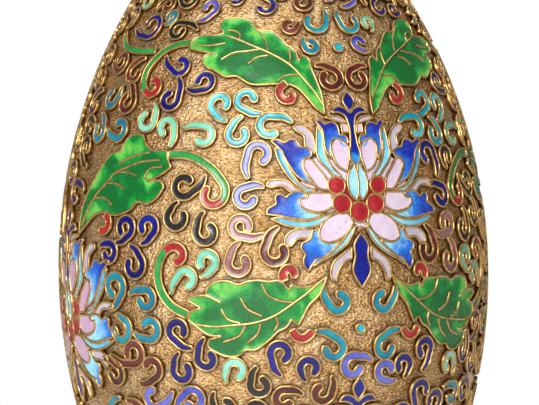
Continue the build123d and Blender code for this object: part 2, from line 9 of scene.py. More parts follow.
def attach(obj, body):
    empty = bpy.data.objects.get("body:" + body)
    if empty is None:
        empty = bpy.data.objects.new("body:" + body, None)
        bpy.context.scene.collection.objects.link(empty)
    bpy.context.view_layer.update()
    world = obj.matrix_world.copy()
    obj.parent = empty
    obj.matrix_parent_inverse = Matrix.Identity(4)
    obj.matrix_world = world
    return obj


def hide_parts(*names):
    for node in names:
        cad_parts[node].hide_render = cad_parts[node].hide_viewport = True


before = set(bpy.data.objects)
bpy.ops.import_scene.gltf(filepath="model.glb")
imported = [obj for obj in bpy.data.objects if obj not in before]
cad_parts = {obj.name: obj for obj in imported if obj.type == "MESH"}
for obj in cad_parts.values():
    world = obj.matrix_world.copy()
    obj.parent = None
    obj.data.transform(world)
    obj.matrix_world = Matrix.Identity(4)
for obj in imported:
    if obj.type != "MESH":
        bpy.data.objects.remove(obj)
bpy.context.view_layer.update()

random.seed(7)
MM = 0.001

# ---- The body's wall, in millimetres, as the CAD has it ----
BELLY_R = 33.0
BELLY_Z = 59.0
UPPER_ARC = 81.0
LOWER_ARC = 85.0
BODY_LOW = 8.0
BODY_HIGH = 112.0
WALL = 0.9
HALF_TURN = math.pi * BELLY_R  # the ornament repeats after half a turn

# ---- Relief ----
ENAMEL_RISE = 0.58
ENAMEL_DISH = 0.1  # enamel shrinks as it cools, so each cell is dished
WIRE_RISE = 0.7
WIRE_HALF = 0.17
BAND_HALF = 0.6  # half the width of a scroll, to the middle of its wires
VINE_HALF = 0.6
WIRE_CHAMFER = 0.09  # how far the wire's worn edges lie below its top
STEP = 0.32  # distance between points along a drawn line
CELL_GRID = 0.42  # distance between points inside a cell
LEAST_EYE = 0.78  # radius of the tightest end of a coil
MOST_WINDING = 1.85 * math.pi  # a coil stops short of its own tail
TAIL_SHARE = 0.42  # a scroll's tail starts with this share of its width
TAIL_LENGTH = 1.9  # and reaches its whole width after this distance
CORNER = math.radians(62)  # a sharper bend than this is kept as a corner
MIRROR_SHARE = 0.942
LOTUS_AXIS = 13.1
LOTUS_HIGH = (13.1, 10.5)
LOTUS_LOW = (-40.3, -7.5)
LOTUS_FOOT = (13.1, -33.5)
BAND_COUNT = 12
BAND_PITCH = 2 * math.pi * BELLY_R / BAND_COUNT

# ---- Scrolls of one panel: (colour, tone) and (tail, eye, radius, turn, bulb) ----
# The chart's u runs round the belly and v up it, on the belly's scale.
SCROLLS = {
    ("turquoise", 0.6): [
        ((3.4, 23.2), (-0.3, 22.7), 1.7, 1, (0.3, 21.4)),
        ((-1.3, 24.8), (-4, 27.2), 1.7, -1, (-3, 27.5)),
        ((-7.1, 23.6), (-8.5, 26.6), 1.7, -1, (-7.6, 26.4)),
        ((-4.6, 24.4), (-5.3, 21.3), 1.6, 1, (-4.4, 21.7)),
    ],
    ("turquoise", 0.25): [
        ((7.2, -1.8), (9.5, -3.9), 1.5, 1, (9.8, -3.2)),
        ((6, -8.3), (8.7, -10.9), 1.6, -1, (7.8, -11.2)),
        ((-23, -2.7), (-20, -3.4), 1.5, -1, (-20.6, -3.7)),
        ((-22.6, -8.2), (-19.5, -7.8), 1.6, 1, (-20.2, -7)),
        ((-27.3, -5), (-26, -1.6), 1.9, 1, (-26.2, -2.6)),
        ((-26, -5.8), (-25.2, -8), 1.9, -1, (-26.3, -8.2)),
        ((-34.3, 26), (-33.8, 22.6), 1.4, -1, (-34.8, 23.2)),
        ((-31.2, 23), (-28, 22.8), 1.6, 1, (-28.5, 23.8)),
        ((11.6, 46), (9.2, 43), 2.3, -1, (8, 43.6)),
    ],
    ("violet", 0.8): [
        ((-3.6, 14.3), (-2.1, 18.1), 1.6, -1, (-1.3, 17.1)),
        ((-1.2, 13), (-3.9, 11.5), 1.5, 1, (-3, 11)),
        ((-16, -20.5), (-13, -18.6), 1.6, -1, (-13.8, -19.4)),
        ((7, -24), (4.2, -22), 1.7, 1, (5, -21.4)),
    ],
    ("cobalt", 0.3): [
        ((-20.6, 36.2), (-17, 34), 1.6, 1, (-17.1, 35.1)),
        ((-17, 32), (-17.8, 27.7), 1.6, -1, (-18.2, 28.6)),
        ((-15, 29.6), (-11.8, 30.8), 1.6, 1, (-12.8, 30.9)),
        ((-20.8, 4.7), (-19.6, 7.3), 1.5, 1, (-20.4, 7)),
        ((-25.8, 5), (-23.9, 7.2), 1.5, 1, (-24.6, 6.7)),
        ((-29.6, 4.3), (-27.2, 3.5), 1.4, -1, (-27.9, 3.1)),
        ((-23, 4.6), (-21.9, 1.6), 1.6, -1, (-22.9, 1.9)),
        ((-12.4, -10.7), (-14.6, -8), 1.5, -1, (-13.8, -8.2)),
        ((-10.4, -9), (-10.3, -12.2), 1.4, 1, (-9.6, -11.8)),
        ((-14.6, -11.2), (-14.4, -14.1), 1.5, 1, (-13.5, -13.6)),
        ((1, -15), (0.8, -11.5), 1.5, -1, (1.5, -12.2)),
        ((4.8, -15.8), (5.1, -13.8), 1.4, -1, (5.9, -14.2)),
        ((-32.5, 43), (-27.3, 43.3), 2.7, 1, (-28.6, 43.8)),
        ((-4, 50), (-1, 47), 1.9, -1, (-2, 46.4)),
    ],
    ("mint", 0.6): [
        ((-20.9, 27.2), (-21.8, 24.2), 1.6, -1, (-22.5, 25.1)),
        ((-16.7, 19.4), (-17.6, 22.8), 1.4, 1, (-18.3, 22)),
        ((-14.6, 22.5), (-11, 21.3), 1.6, -1, (-11.6, 20.5)),
        ((-10.8, -0.1), (-9.8, 2.1), 1.4, 1, (-10.6, 1.8)),
        ((-15.4, -2.6), (-13, -0.5), 1.4, -1, (-12.6, -1.2)),
        ((-7.4, -16), (-6, -14), 1.4, -1, (-5.4, -14.8)),
        ((-36, 52.5), (-33, 50), 2, -1, (-34.2, 49.8)),
    ],
    ("black", 0.3): [
        ((-10.2, 15), (-13.6, 13.4), 1.7, -1, (-13, 14.2)),
        ((-14.3, 11), (-14.6, 8.6), 1.6, 1, (-13.6, 8.8)),
        ((-10.2, 9.5), (-9.9, 6.4), 1.6, 1, (-9.2, 6.9)),
        ((-14.8, 41.6), (-19.4, 41.7), 1.9, 1, (-18.4, 41.5)),
        ((-22, 52), (-19, 49.5), 2, 1, (-18, 49)),
    ],
    ("maroon", 0.85): [
        ((-1.2, 6), (-4.6, 7.2), 1.5, -1, (-3.8, 7)),
        ((-4.8, 5), (-5, 1.8), 1.6, 1, (-4.2, 2.1)),
    ],
    ("maroon", 0.3): [
        ((0.9, 7.1), (0.4, 3.4), 1.8, 1, (1.3, 3.6)),
        ((7.9, 33.4), (10.4, 31), 2, -1, (10.4, 30)),
        ((-25.6, 36), (-27.6, 33.2), 1.9, 1, (-26.6, 32.8)),
        ((-36.4, 36.2), (-33.2, 35.6), 1.9, 1, (-34.2, 36)),
        ((-28.5, 31.5), (-27.5, 27.6), 1.7, -1, (-28.2, 28.5)),
        ((-28, -11.8), (-23, -11.5), 1.7, 1, (-24, -12)),
        ((-30, -12.5), (-27.5, -14.8), 1.6, -1, (-28.4, -15.2)),
        ((-22.5, -16.2), (-19.8, -13.8), 1.6, 1, (-20.2, -13.4)),
        ((-26, -19), (-23.3, -22), 1.8, -1, (-24.2, -22.4)),
    ],
}
FILL_COLOURS = [("turquoise", 0.25), ("cobalt", 0.3), ("mint", 0.6), ("maroon", 0.3),
                ("black", 0.3), ("violet", 0.8)]
DOTS = [(12.9, -8, 0.75), (13.1, 37.3, 1)]  # turquoise, on the lotus axis

# ---- Leaves: outline, wires laid inside it, vines and red calyx hooks ----
LEAVES = [
    {
        "outline": [
            (8.7, 24.6), (8.6, 27.5), (7.8, 31), (7.2, 33), (6.8, 35), (5.7, 35.5), (5.1, 34.4),
            (4.5, 36.5), (3, 37.9), (1.5, 39.8), (0, 40.9), (-1, 41), (-2.2, 41.2), (-3, 42.3),
            (-4, 43.3), (-6.5, 44.1), (-9.4, 44), (-10, 42), (-9, 40.6), (-10.5, 40.2), (-14, 40.1),
            (-15.5, 39), (-15.8, 37.4), (-14, 37), (-10, 36.1), (-12, 36), (-12.6, 35), (-12, 33.8),
            (-10, 32.8), (-8, 31.6), (-6, 31.6), (-5, 31), (-4, 30.3), (0.5, 30), (3.2, 29.9),
            (4.5, 29.2), (6, 27.5), (7.5, 25.5),
        ],
        "veins": [
            [(-8.5, 40), (-6, 39), (-4, 38), (0, 36), (3.5, 33.6), (6, 30.5), (7.5, 28.3), (8.7, 26)],
            [(-9, 35), (-7, 36.2), (-4, 36.6), (-2, 36.9)],
            [(-4, 34), (-2.5, 35.2), (-0.5, 35.6)],
            [(1, 30.5), (2.5, 31.5), (4.8, 31.7)],
            [(-6, 39), (-5.8, 40), (-7, 41), (-8.3, 41.2)],
            [(-3.8, 42.3), (-2, 40.5), (-1, 39), (-0.4, 36.6)],
            [(3.2, 37.5), (3.6, 35.5), (3.4, 33.9)],
            [(-14.5, 38), (-11, 38), (-8.5, 38.4)],
        ],
        "vines": [
            ([(-15.4, 38.8), (-18.6, 38.5), (-22.4, 36.4), (-24.5, 32.7), (-23.8, 29.6)],
             [(-22.4, 28.6), (-21, 29.3), (-20.8, 30.6), (-21.8, 31.5), (-22.6, 31)]),
            ([(-23.6, 37.4), (-26, 37.5), (-30, 37.9), (-34, 39.2), (-36.6, 42.2)], []),
        ],
        "hooks": [
            [(2.6, 30.2), (1.5, 29.2), (1.4, 28), (2.2, 27), (3.3, 27), (3.6, 27.9),
             (3.2, 28.4)],
        ],
    },
    {
        "outline": [
            (-35.8, 6.2), (-33.5, 7.7), (-31.5, 9), (-28.6, 9.6), (-26.5, 9.1), (-24, 9.5),
            (-22.8, 10), (-21.9, 11), (-20, 10.7), (-18.3, 11.5), (-17, 13.2), (-17.5, 14),
            (-18.5, 14.3), (-20, 14.2), (-18, 15), (-16, 16.3), (-16.7, 17.6), (-17, 19),
            (-20, 19.2), (-21.5, 20.5), (-22, 21.5), (-23.5, 21.8), (-25.2, 21.3), (-26, 20.3),
            (-26.5, 19.2), (-28.5, 18.8), (-30.5, 17), (-32.5, 14.5), (-34, 12.5), (-35.5, 9.5),
        ],
        "veins": [
            [(-35, 7.5), (-33, 10.5), (-31, 12.5), (-29, 14), (-27, 15.7), (-25, 16.3), (-22, 17.2),
             (-18, 17.5)],
            [(-31.7, 11.7), (-29, 11.7), (-27, 10.5)],
            [(-29, 14), (-26.5, 13.9), (-24.6, 13)],
            [(-27, 15.7), (-24, 15.6), (-22, 14.9)],
            [(-26.5, 17), (-23.5, 18.2), (-20, 18.8)],
            [(-20, 14.2), (-20.8, 14.9), (-20, 16), (-17.4, 16.4)],
        ],
        "vines": [([(-16.6, 18.3), (-13.6, 18.2), (-10.6, 16.9), (-8.2, 14.8), (-7, 12.4),
                    (-7.5, 11)],
                   [(-8.6, 10.4), (-9.8, 10.7), (-10.3, 11.7), (-10, 12.7), (-9.5, 13.1)])],
        "hooks": [
            [(-28.6, 9.2), (-27.7, 8.5), (-27.6, 7.5), (-28.3, 6.8), (-29.2, 6.8), (-29.8, 7.3)],
        ],
    },
    {
        "outline": [
            (-11, -7.8), (-9.8, -8.6), (-7.6, -8.8), (-9.8, -9.3), (-9.9, -10.2), (-8.5, -11.3),
            (-6.5, -11.9), (-5, -11.5), (-4.4, -10.9), (-3, -10.9), (-1.6, -10.1), (-0.5, -9.2),
            (0.5, -8.2), (1.7, -7.6), (2.5, -6.4), (3.5, -7.3), (4.2, -6), (5, -4.5), (6.5, -3),
            (7.8, -0.2), (6.5, -1.2), (4, -1.8), (2.5, -1.4), (2.2, -2.2), (0.9, -0.8),
            (-0.5, -0.9), (-2.5, -0.7), (-4, -0.9), (-5, -1.3), (-6.5, -0.8), (-8.5, -0.9),
            (-9.7, -1.7), (-10, -2.7), (-7.5, -4), (-10.5, -2.8), (-12, -3), (-13, -3.4),
            (-10.7, -4.7), (-12.4, -5.2), (-12.8, -6.4),
        ],
        "veins": [
            [(-12, -7), (-9, -7.4), (-6, -7.2), (-3, -6.9), (0, -5.9), (2.5, -4.3), (5, -2.5),
             (7, -0.8)],
            [(-7.7, -4.8), (-6.8, -6.3), (-5, -6.9)],
            [(-4.8, -3.2), (-4, -4.7), (-1.8, -5.9)],
            [(-1.7, -1.2), (-1, -2.7), (0.5, -3.6), (2.8, -4)],
            [(-2, -7), (-2.5, -8.5), (-4, -9.8)],
            [(0.3, -6), (0.5, -7), (0, -8)],
            [(-4.2, -7.2), (-5, -8.6), (-7.6, -9.7)],
        ],
        "vines": [([(-12.9, -5.7), (-15.6, -4.2), (-17.6, -0.6), (-17.4, 2), (-16.4, 3.7)],
                   [(-15, 4.4), (-13.8, 3.9), (-13.5, 2.9), (-14.3, 2.1), (-15.1, 2.3)])],
        "hooks": [
            [(2.6, -8), (3.2, -9), (4.2, -9.3), (5, -8.9), (5.6, -8)],
            [(1.5, -0.8), (1.3, 0.2), (1.9, 1), (2.8, 0.8), (3, 0.1), (2.5, -0.3)],
        ],
    },
]

# ---- Half of the upper lotus; the other half is its mirror image about the lotus axis ----
LOTUS_HALF = {
    "petal": [
        [(11.5, 15.2), (12.1, 17.5), (11.9, 19.5), (10.8, 20.3), (10, 20.5), (9.3, 19.5), (9.4, 17.8),
         (10.2, 16)],
        [(8.5, 12.4), (8.2, 14), (6.8, 16), (5.6, 17.3), (5, 17.2), (4.7, 16.3), (5.2, 15),
         (6, 13.8), (7, 12.6)],
        [(3.9, 11.2), (5, 11.2), (5.4, 12), (7, 12), (8.6, 12), (8.9, 11), (8.9, 9.9), (7.5, 9.2),
         (5.5, 9.3), (4.2, 10)],
        [(6.7, 6), (7, 7), (8.8, 8.6), (11.2, 8.8), (12, 7.6), (11, 6), (9.5, 5), (7.5, 4.7),
         (6.8, 5.2)],
        [(11.3, 23), (12.3, 22.9), (12.4, 21.4), (11.3, 21.4)],
    ],
    "tip": [
        [(7, 23.4), (8, 23.5), (8.6, 22.8), (9.5, 23.2), (10.3, 23), (10.7, 22.3), (10.8, 21),
         (11.5, 21.1), (12.1, 20.3), (12, 19.4), (11.3, 19.1), (10.8, 19.7), (10.5, 20.4),
         (9.7, 20.3), (9.2, 19.3), (9.2, 17.2), (8.4, 18.5), (8.2, 20.5), (8.1, 21.8)],
        [(-0.2, 20.2), (0.8, 20.4), (2, 19.9), (2.8, 20.4), (3.8, 20.2), (4.4, 19.2), (5.3, 19),
         (6.1, 18.4), (6, 17.7), (5, 17.3), (4.6, 16.5), (5.1, 14.9), (6.3, 13.2), (4.2, 14.2),
         (2.4, 16.6), (1.3, 18.8)],
        [(-0.9, 8.9), (-0.7, 9.7), (0, 10.1), (0.6, 10.5), (0.4, 11.3), (0.7, 11.9), (1.4, 11.8),
         (2, 11.3), (2.6, 11.9), (4.2, 12.2), (5, 11.9), (4.8, 11.3), (3.9, 11), (4.3, 9.9),
         (6, 9), (8, 8.9), (5.5, 8.1), (3, 8.2), (1.2, 8.6)],
        [(6.8, 6.8), (5.7, 6.1), (5.5, 5.4), (4.9, 4.9), (4.2, 4.6), (4.1, 3.7), (4.7, 3),
         (4.3, 2.1), (4.5, 1.2), (5.1, 0.5), (5.5, 1.3), (7, 2.3), (9, 3.8), (10, 4.8),
         (7.5, 4.7), (6.7, 5.4)],
    ],
    "strip": [
        [(7.3, 22.7), (7.9, 21.5), (8, 19), (8.6, 17), (9.7, 15.3), (10.5, 14.5), (9.8, 14.4),
         (8.4, 15.7), (7.1, 17.3), (7, 20)],
        [(0.4, 19.1), (1.3, 18.8), (2, 17), (3, 15), (4.7, 13), (6.8, 12.4), (5.2, 12.1), (4, 12.9),
         (2.3, 14.7), (1, 17)],
        [(-0.3, 8.2), (1.2, 8.4), (3, 7.9), (5.5, 7.9), (7.2, 8.4), (9, 9.2), (8.5, 8.6),
         (6.5, 7.2), (4.5, 6.8), (2, 7.2)],
        [(5.7, 1.2), (7, 2), (9, 3), (11, 4.6), (12.1, 6.5), (12.3, 7.2), (11.7, 6.7), (10, 4.6),
         (7.5, 2.6), (5.9, 1.9)],
    ],
    "drop": [
        [(12.7, 16.5), (11.7, 14.8), (11.5, 13), (12, 11.4), (12.7, 10.8), (13.1, 12),
         (13.1, 14.8)],
    ],
    "sepal": [
        [(8.7, 24), (10, 24.2), (11.5, 23.9), (12.3, 22.9), (11, 23.2)],
        [(3.4, 22.4), (4.2, 22.9), (5.4, 22.4), (6.3, 21.3), (6.7, 19), (6.6, 18), (5.2, 19.2),
         (5, 21), (3.9, 21.8)],
        [(-0.9, 13.2), (-0.5, 13.9), (0.7, 14.1), (2.2, 13.9), (3.3, 13), (4.6, 12.2), (2.8, 12.1),
         (1.7, 13), (0.7, 13.1), (-0.3, 12.9)],
        [(1.7, 4.4), (1.7, 5.3), (2.7, 6.4), (4.5, 6.7), (5.9, 6.7), (5.2, 5.4), (3.5, 5.2),
         (2.4, 4.2)],
        [(8.4, -0.6), (9.1, -1.1), (9.5, 0.5), (10.5, 1.8), (11.5, 2.2), (11.6, 4), (10.5, 3.2),
         (8.6, 1.5), (8.3, 0.3)],
    ],
}
# Half of the ground enamel that closes the gaps between the petals.
LOTUS_HULL = [(13, 16.4), (12.4, 19), (8.9, 18.9), (8.2, 17.6), (6.6, 17.4), (5, 15.4),
              (4.2, 13.2), (3.6, 11.2), (3.9, 8.4), (6.2, 6.8), (6.8, 5), (9.2, 4.2),
              (11.8, 6.2), (13, 7)]
LOTUS_SEEDS = [(13.1, 9.1, 1.5), (10.4, 10.3, 1.45), (9.7, 13.1, 1.35), (15.8, 10.3, 1.45),
               (16.5, 13.1, 1.35)]
SEED_BED = [(9.7, 13.9), (11.5, 13.6), (11.7, 11.8), (13.1, 10.8), (14.5, 11.8), (14.7, 13.6),
            (16.5, 13.9), (16.6, 10.4), (13.1, 8.6), (9.6, 10.4)]
LOTUS_STEM = [
    [(13.1, 15.9), (12.2, 17.4), (12.5, 19.6), (12.5, 23.2), (12.1, 24.3), (11.1, 24.8), (9.9, 24.8),
     (10.8, 25.8), (12, 25.7), (13.1, 24.7), (14.2, 25.7), (15.4, 25.8), (16.3, 24.8),
     (15.1, 24.8), (14.1, 24.3), (13.7, 23.2), (13.7, 19.6), (14, 17.4)],
    [(13.1, 24.9), (12.1, 26.9), (13.1, 28.7), (14.1, 26.9)],
    [(13.1, 6), (12, 4.3), (12.1, 2.6), (11.7, 0.6), (13.1, -2.1), (14.5, 0.6), (14.1, 2.6),
     (14.2, 4.3)],
]

# ---- Ruyi head of the shoulder band and lappet of the foot band, from their centre line ----
RUYI = [(-4.4, 71), (0, 71.4), (4.4, 71), (5, 69.2), (6.6, 67.6), (7.7, 64.6), (5.2, 62.4),
        (3.6, 62.2), (2.4, 61.4), (1.4, 59.6), (0, 58.4), (-1.4, 59.6), (-2.4, 61.4),
        (-3.6, 62.2), (-5.2, 62.4), (-7.7, 64.6), (-6.6, 67.6), (-5, 69.2)]
RUYI_EYE = [(0, 62), (-1.5, 64.6), (0, 67.4), (1.5, 64.6)]
LAPPET = [(0, -43), (-5.8, -48), (-6.9, -57), (-6.6, -60.6), (-6, -63.4),
          (0, -63.9), (6, -63.4), (6.6, -60.6), (6.9, -57), (5.8, -48)]
LAPPET_EYE = [(0, -48.4), (-2.9, -53.6), (0, -59.4), (2.9, -53.6)]


def band_start(name):
    """Chart place of the first repeat: the lowest lotus hangs its keel between two lappets."""
    return LOTUS_AXIS + (BAND_PITCH / 2 if name == "lappet" else 0)


# ---- Chart geometry ----
def mirrored_u(u):
    """Chart place u in the mirrored panel, which is a little narrower."""
    return LOTUS_AXIS + (LOTUS_AXIS - u) * MIRROR_SHARE


def mirrored(points):
    """Chart points as they lie in the mirrored panel."""
    return np.column_stack([mirrored_u(points[:, 0]), points[:, 1]])


def on_wall(chart):
    """Points (u, v, out) in millimetres to places in metres on the body, out from its wall."""
    u, v, out = np.asarray(chart, float).T
    arc = np.where(v >= 0, UPPER_ARC, LOWER_ARC)
    root = np.sqrt(BELLY_R * (2 * arc - BELLY_R))
    slope = 2 * np.arctan(BELLY_R / root * np.tanh(v * root / (2 * BELLY_R * arc)))
    radius = BELLY_R - arc + (arc + out) * np.cos(slope)
    z = BELLY_Z + (arc + out) * np.sin(slope)
    turn = u / BELLY_R
    return np.stack([radius * np.sin(turn), -radius * np.cos(turn), z], axis=1) * MM


def resampled(points, closed):
    """The same line with even steps."""
    pts = np.asarray(points, float)
    if closed:
        pts = np.vstack([pts, pts[:1]])
    lengths = np.hypot(*np.diff(pts, axis=0).T)
    run = np.concatenate([[0], np.cumsum(lengths)])
    count = max(2, int(round(run[-1] / STEP)))
    at = np.linspace(0, run[-1], count + 1)
    out = np.stack([np.interp(at, run, pts[:, 0]), np.interp(at, run, pts[:, 1])], axis=1)
    return out[:-1] if closed else out


def spline(points, closed=False):
    """A smooth line through the points that keeps sharp corners."""
    pts = [np.array(p, float) for p in points]
    n = len(pts)

    def neighbour(i, side):
        """The point before or after point i; an open line's ends are their own neighbours."""
        j = i + side
        if closed:
            return pts[j % n]
        return pts[min(max(j, 0), n - 1)]

    def tangent(i):
        """Unit direction of the line at point i, or None at a corner or an end."""
        before, after = pts[i] - neighbour(i, -1), neighbour(i, 1) - pts[i]
        a, b = np.hypot(*before), np.hypot(*after)
        if a < 1e-6 or b < 1e-6:
            return None
        bend = abs(math.atan2(before[0] * after[1] - before[1] * after[0], before @ after))
        if bend > CORNER:
            return None
        way = before / a * b + after / b * a
        return way / np.hypot(*way)

    ways = [tangent(i) for i in range(n)]
    line = []
    for i in range(n if closed else n - 1):
        j = (i + 1) % n
        p, q = pts[i], pts[j]
        gap = np.hypot(*(q - p))
        start = (q - p) if ways[i] is None else ways[i] * gap
        end = (q - p) if ways[j] is None else ways[j] * gap
        for t in np.arange(8) / 8:
            h = ((2 * t ** 3 - 3 * t ** 2 + 1) * p + (t ** 3 - 2 * t ** 2 + t) * start
                 + (3 * t ** 2 - 2 * t ** 3) * q + (t ** 3 - t ** 2) * end)
            line.append(h)
    if not closed:
        line.append(pts[-1])
    return resampled(line, closed)


def side_ways(pts, closed):
    """Unit vectors across a line, to its left."""
    if closed:
        along = np.roll(pts, -1, axis=0) - np.roll(pts, 1, axis=0)
    else:
        along = np.gradient(pts, axis=0)
    along /= np.maximum(np.hypot(along[:, 0], along[:, 1]), 1e-9)[:, None]
    return np.stack([-along[:, 1], along[:, 0]], axis=1)


def scroll_line(tail, eye, radius, turn, bulb):
    """Centre line of a scroll: a bent tail that winds round the eye to the bulb."""
    tail, eye, bulb = (np.array(p, float) for p in (tail, eye, bulb))
    away = math.atan2(*(tail - eye)[::-1])
    reach = np.hypot(*(tail - eye))
    first = away + turn * math.acos(min(1.0, radius / reach))
    last_radius = max(LEAST_EYE, float(np.hypot(*(bulb - eye))))
    sweep = (turn * (math.atan2(*(bulb - eye)[::-1]) - first)) % (2 * math.pi)
    if sweep < math.pi:
        sweep += 2 * math.pi
    sweep = min(sweep + 0.75 / last_radius, MOST_WINDING)
    coil = []
    for share in np.linspace(0, 1, 13):
        at = first + turn * sweep * share
        r = radius + (last_radius - radius) * share ** 1.6
        coil.append(eye + r * np.array([math.cos(at), math.sin(at)]))
    bow = 0.12 * np.hypot(*(coil[0] - tail))
    bend = (tail + coil[0]) / 2 + bow * np.array([math.cos(first), math.sin(first)])
    return spline([tail, bend] + coil)


# ---- Relief pieces are gathered as chart meshes, then laid on the wall ----
class Piece:
    """Mesh data of one Blender object on the chart: (u, v, out) and a tone for each point."""

    def __init__(self):
        self.points, self.tones, self.faces, self.count = [], [], [], 0

    def add(self, points, tones, faces):
        """Adds a patch whose faces count its own points from 0."""
        self.points.append(np.asarray(points, float))
        self.tones.append(np.asarray(tones, float))
        self.faces += [tuple(i + self.count for i in f) for f in faces]
        self.count += len(points)


pieces = {}
wire_points = []


def grid_faces(rows, columns, closed=False):
    """Quads between rows of points; closed joins the last row to the first."""
    faces = []
    for i in range(rows if closed else rows - 1):
        a, b = i * columns, ((i + 1) % rows) * columns
        for j in range(columns - 1):
            faces.append((a + j, a + j + 1, b + j + 1, b + j))
    return faces


def everywhere(name, points, tones, faces, panels=(0, 1), tone_shift=0.0):
    """Adds a patch in its own panel and in the mirrored one, on both sides of the vase."""
    points = np.asarray(points, float)
    for panel in panels:
        placed = points.copy()
        turned = faces
        if panel:
            placed[:, 0] = mirrored_u(placed[:, 0])
            turned = [f[::-1] for f in faces]
        for half in (0, 1):
            copy = placed.copy()
            copy[:, 0] += half * HALF_TURN
            pieces.setdefault(name, Piece()).add(
                copy, np.clip(np.asarray(tones) + panel * tone_shift, 0, 1), turned)


def inside(points, polygon):
    """Which points lie inside a closed polygon."""
    x, y = points[:, 0][:, None], points[:, 1][:, None]
    px, py = polygon[:, 0], polygon[:, 1]
    qx, qy = np.roll(px, -1), np.roll(py, -1)
    crosses = (py > y) != (qy > y)
    with np.errstate(divide="ignore", invalid="ignore"):
        at = px + (y - py) / (qy - py) * (qx - px)
    return (crosses & (x < at)).sum(axis=1) % 2 == 1


def grid_inside(outline, step, stagger=0.0):
    """Points on a grid inside an outline; every second row is moved across by stagger."""
    low, high = outline.min(axis=0), outline.max(axis=0)
    gu, gv = np.meshgrid(np.arange(low[0], high[0], step), np.arange(low[1], high[1], step))
    gu = gu + (np.arange(gu.shape[0]) % 2)[:, None] * stagger
    grid = np.stack([gu.ravel(), gv.ravel()], axis=1)
    return grid[inside(grid, outline)]


def gaps(points, outline):
    """Distance from each point to an outline."""
    return np.sqrt(((points[:, None] - outline[None]) ** 2).sum(axis=2)).min(axis=1)


def wire(name, pts, closed, taken=(), panels=(0, 1), rise=WIRE_RISE):
    """A flat-topped strip soldered on edge; it stops where it would run over an earlier cell."""
    keep = np.ones(len(pts), bool)
    for polygon in taken:
        keep &= ~inside(pts, polygon)
    if not keep.all():
        start = int(np.argmin(keep)) if closed else 0
        order = (np.arange(len(pts)) + start) % len(pts)
        run = []
        runs = []
        for i in order:
            if keep[i]:
                run.append(i)
            elif run:
                runs.append(run)
                run = []
        if run:
            runs.append(run)
        for run in runs:
            if len(run) > 2:
                wire(name, pts[run], False, (), panels, rise)
        return
    across = side_ways(pts, closed)
    edge = rise - WIRE_CHAMFER
    section = [(-1, 0.0), (-1, edge), (-0.6, rise), (0.6, rise), (1, edge), (1, 0.0)]
    rows = []
    for offset, out in section:
        row = np.empty((len(pts), 3))
        row[:, :2] = pts - across * offset * WIRE_HALF
        row[:, 2] = out
        rows.append(row)
    points = np.stack(rows, axis=1).reshape(-1, 3)
    # a wire's tone is its height; it darkens the sides towards the foot with painted shade and
    # tarnish
    tones = np.clip(points[:, 2] / rise, 0, 1)
    faces = grid_faces(len(pts), len(section), closed)
    everywhere(name, points, tones, [f[::-1] for f in faces], panels)
    for panel in panels:
        u = mirrored_u(pts[:, 0]) if panel else pts[:, 0]
        for half in (0, 1):
            wire_points.append(np.stack([u + half * HALF_TURN, pts[:, 1]], axis=1))


def band(name, line, tone, half=BAND_HALF, wires=None, panels=(0, 1), shift=0.0, bulb=0.0,
         rise=ENAMEL_RISE, tail=1.0):
    """Enamel along a line, with a round far end, and the wire that runs round it.

    tail is the share of the width that the line starts with.
    """
    line = resampled(line, False)
    across = side_ways(line, False)
    count = len(line)
    left_over = (count - 1 - np.arange(count)) * STEP
    swell = 1 + bulb * np.exp(-((left_over - half) / 0.7) ** 2)
    round_end = np.sqrt(np.clip(1 - (1 - np.clip(left_over / half, 0, 1)) ** 2, 0.02, 1))
    width = half * swell * round_end
    width *= tail + (1 - tail) * np.clip(np.arange(count) * STEP / TAIL_LENGTH, 0, 1) ** 0.8
    columns = (-1, -0.75, -0.3, 0.3, 0.75, 1)
    rows = []
    for offset in columns:
        row = np.empty((count, 3))
        row[:, :2] = line + across * offset * width[:, None]
        row[:, 2] = rise - ENAMEL_DISH * (1 - abs(offset) ** 2.5)
        rows.append(row)
    points = np.stack(rows, axis=1).reshape(-1, 3)
    wave = 0.12 * np.sin(np.linspace(0, 5, count) + line[0, 0])
    tones = np.repeat(tone + wave, len(columns))
    everywhere(name, points, tones, [f[::-1] for f in grid_faces(count, len(columns))], panels, shift)
    edge = np.vstack([line + across * width[:, None], (line - across * width[:, None])[::-1]])
    outline = resampled(edge, True)
    if wires:
        wire(wires, outline, True, (), panels)
    return outline


def cell(name, outline, tone_at, wires=None, taken=(), panels=(0, 1), rise=ENAMEL_RISE):
    """Enamel inside a closed outline, dished towards its middle; tone_at gives its tone by place."""
    grid = grid_inside(outline, CELL_GRID, CELL_GRID / 2)
    if len(grid):
        grid = grid[gaps(grid, outline) > 0.16]
    points = [tuple(p) for p in np.vstack([outline, grid])]
    ring = list(range(len(outline)))
    made = geometry.delaunay_2d_cdt(points, [], [ring], 1, 1e-5)
    flat = np.array([tuple(p) for p in made[0]])
    out = rise - ENAMEL_DISH * np.clip(gaps(flat, outline) / 0.5, 0, 1) ** 0.7
    faces = [tuple(f) for f in made[2]]
    everywhere(name, np.column_stack([flat, out]), [tone_at(*p) for p in flat], faces, panels)
    if wires:
        wire(wires, outline, True, taken, panels)


def circle(u, v, radius):
    """A round outline."""
    at = np.linspace(0, 2 * math.pi, 25)[:-1]
    return resampled(np.stack([u + radius * np.cos(at), v + radius * np.sin(at)], axis=1), True)


